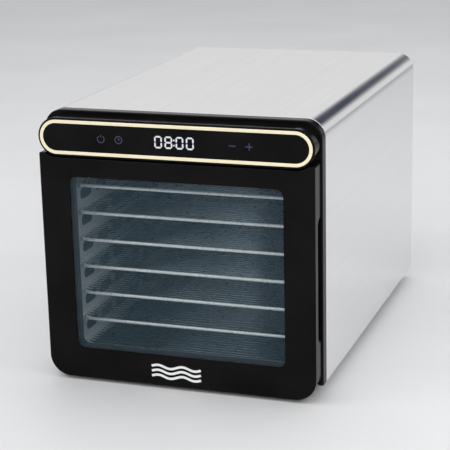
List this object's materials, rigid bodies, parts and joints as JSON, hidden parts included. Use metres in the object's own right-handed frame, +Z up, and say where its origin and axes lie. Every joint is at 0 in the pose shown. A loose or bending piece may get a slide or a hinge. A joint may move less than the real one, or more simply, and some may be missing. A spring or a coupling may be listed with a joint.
{
  "type": "food dehydrator",
  "caption": "Cabinet food dehydrator with a steel wrap, glazed side-hinged door, wire trays on side rails, a control strip and a rear fan with a heater.",
  "frame": {"origin": "on the floor plane under the feet, at the middle of the overall width and depth", "axes": "+Z up, -Y out of the door at the front, +X to the right of a person facing the door"},
  "size_m": [0.34, 0.52, 0.329],
  "materials": {
    "stainless_wrap": "fine satin stainless sheet",
    "black_gloss": "high-gloss black moulding",
    "black_moulding": "fine-textured black moulding",
    "champagne_trim": "pale champagne satin ring",
    "tinted_glass": "clear pane with a grey tint",
    "silicone_seal": "dark grey silicone",
    "chamber_steel": "stainless liner sheet",
    "galvanised_sheet": "zinc-coated sheet",
    "rear_coated": "powder-coated sheet",
    "tray_wire": "polished wire",
    "zinc_fastener": "zinc-plated steel",
    "fan_aluminium": "stamped sheet",
    "motor_steel": "dark coated laminations",
    "heater_sheath": "heat-toned steel sheath",
    "ceramic": "unglazed insulator",
    "circuit_board": "green laminate",
    "display_grey": "dark grey moulding",
    "lead_insulation": "sleeved wire",
    "magnet": "nickel-coated ferrite",
    "foot_rubber": "soft black rubber"
  },
  "bodies": {
    "cabinet": {"base_pan": "galvanised_sheet", "base_screws": "zinc_fastener", "board_screws": "zinc_fastener", "board_standoffs": "black_moulding", "bracket_screws": "zinc_fastener", "chamber_floor": "chamber_steel", "chamber_liner": "chamber_steel", "control_board": "circuit_board", "control_fascia": "black_gloss", "cord_gland": "black_moulding", "display_lead": "lead_insulation", "display_module": "display_grey", "fan_duct": "black_moulding", "fan_lead": "lead_insulation", "fan_motor": "motor_steel", "floor_supports": "galvanised_sheet", "foot_screws": "zinc_fastener", "front_bezel": "black_gloss", "heater_clips": "ceramic", "heater_element": "heater_sheath", "heater_lead": "lead_insulation", "hinge_brackets": "zinc_fastener", "hinge_screws": "zinc_fastener", "left_rail": "chamber_steel", "motor_bracket": "galvanised_sheet", "motor_screws": "zinc_fastener", "outer_wrap": "stainless_wrap", "power_board": "circuit_board", "rear_baffle": "chamber_steel", "rear_panel": "rear_coated", "rear_screws": "zinc_fastener", "relay": "display_grey", "right_rail": "chamber_steel", "rubber_feet": "foot_rubber", "striker_plates": "zinc_fastener", "temperature_probe": "zinc_fastener", "thermal_cutout": "zinc_fastener", "touch_pads": "zinc_fastener", "touch_panel": "black_gloss", "transformer": "motor_steel", "trim_ring": "champagne_trim"},
    "door": {"door_frame": "black_gloss", "door_back_frame": "black_moulding", "door_window": "tinted_glass", "door_seal": "silicone_seal", "door_magnets": "magnet", "door_screws": "zinc_fastener", "hinge_pins": "zinc_fastener"},
    "fan": {"fan_blades": "fan_aluminium", "fan_shaft": "zinc_fastener", "fan_nut": "zinc_fastener"},
    "tray_1": {"tray_1": "tray_wire"},
    "tray_2": {"tray_2": "tray_wire"},
    "tray_3": {"tray_3": "tray_wire"},
    "tray_4": {"tray_4": "tray_wire"},
    "tray_5": {"tray_5": "tray_wire"},
    "tray_6": {"tray_6": "tray_wire"},
    "tray_7": {"tray_7": "tray_wire"},
    "drip_tray": {"drip_tray": "chamber_steel"}
  },
  "joints": [
    {"name": "door_hinge", "type": "hinge", "parent": "cabinet", "child": "door", "pos_m": [-0.162, -0.248, 0.141], "axis": [0, 0, -1], "range_deg": [0, 110]},
    {"name": "fan_spin", "type": "hinge", "parent": "cabinet", "child": "fan", "pos_m": [0, 0.157, 0.144], "axis": [0, -1, 0], "continuous": true},
    {"name": "tray_1_slide", "type": "slide", "parent": "cabinet", "child": "tray_1", "axis": [0, -1, 0], "range_m": [0, 0.017]},
    {"name": "tray_2_slide", "type": "slide", "parent": "cabinet", "child": "tray_2", "axis": [0, -1, 0], "range_m": [0, 0.017]},
    {"name": "tray_3_slide", "type": "slide", "parent": "cabinet", "child": "tray_3", "axis": [0, -1, 0], "range_m": [0, 0.017]},
    {"name": "tray_4_slide", "type": "slide", "parent": "cabinet", "child": "tray_4", "axis": [0, -1, 0], "range_m": [0, 0.017]},
    {"name": "tray_5_slide", "type": "slide", "parent": "cabinet", "child": "tray_5", "axis": [0, -1, 0], "range_m": [0, 0.017]},
    {"name": "tray_6_slide", "type": "slide", "parent": "cabinet", "child": "tray_6", "axis": [0, -1, 0], "range_m": [0, 0.017]},
    {"name": "tray_7_slide", "type": "slide", "parent": "cabinet", "child": "tray_7", "axis": [0, -1, 0], "range_m": [0, 0.017]},
    {"name": "drip_tray_slide", "type": "slide", "parent": "cabinet", "child": "drip_tray", "axis": [0, -1, 0], "range_m": [0, 0.017]}
  ]
}
